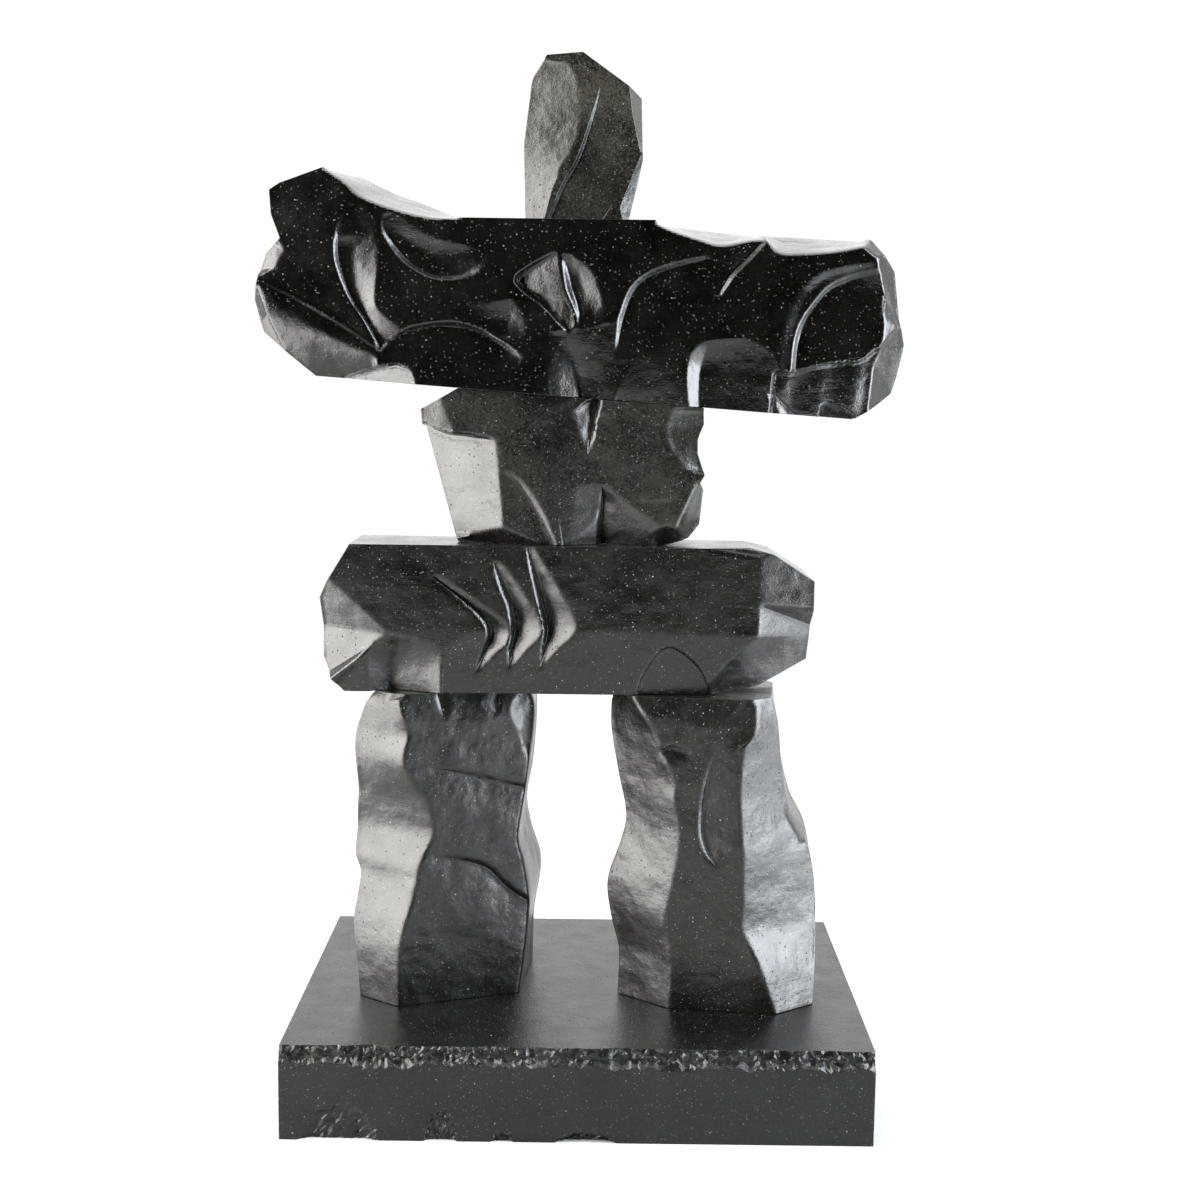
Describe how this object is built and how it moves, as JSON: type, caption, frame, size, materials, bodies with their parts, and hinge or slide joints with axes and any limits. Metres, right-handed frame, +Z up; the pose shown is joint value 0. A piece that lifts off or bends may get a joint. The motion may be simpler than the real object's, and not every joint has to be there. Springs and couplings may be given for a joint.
{
  "type": "inuit inukshuk sculpture",
  "caption": "Standing figure of stacked, ground and gouged black stones, with legs, hips, torso, outstretched arms and head, on a sawn rectangular slab.",
  "frame": {"origin": "middle of the slab's flat underside", "axes": "+X to the right of a viewer who faces the carved fronts, +Y away from that viewer, +Z up from the slab to the head"},
  "size_m": [0.3463, 0.22, 0.5648],
  "materials": {
    "carved_stone": "honed black fine-grained stone with light flecks and small dark pits, satin gloss",
    "slab_stone": "sawn and honed black stone with light flecks, broken glittering band along its front top edge"
  },
  "bodies": {
    "root": {"base_slab": "slab_stone", "left_leg": "carved_stone", "right_leg": "carved_stone", "hip_stone": "carved_stone", "torso_stone": "carved_stone", "arm_stone": "carved_stone", "head_stone": "carved_stone"}
  },
  "joints": []
}
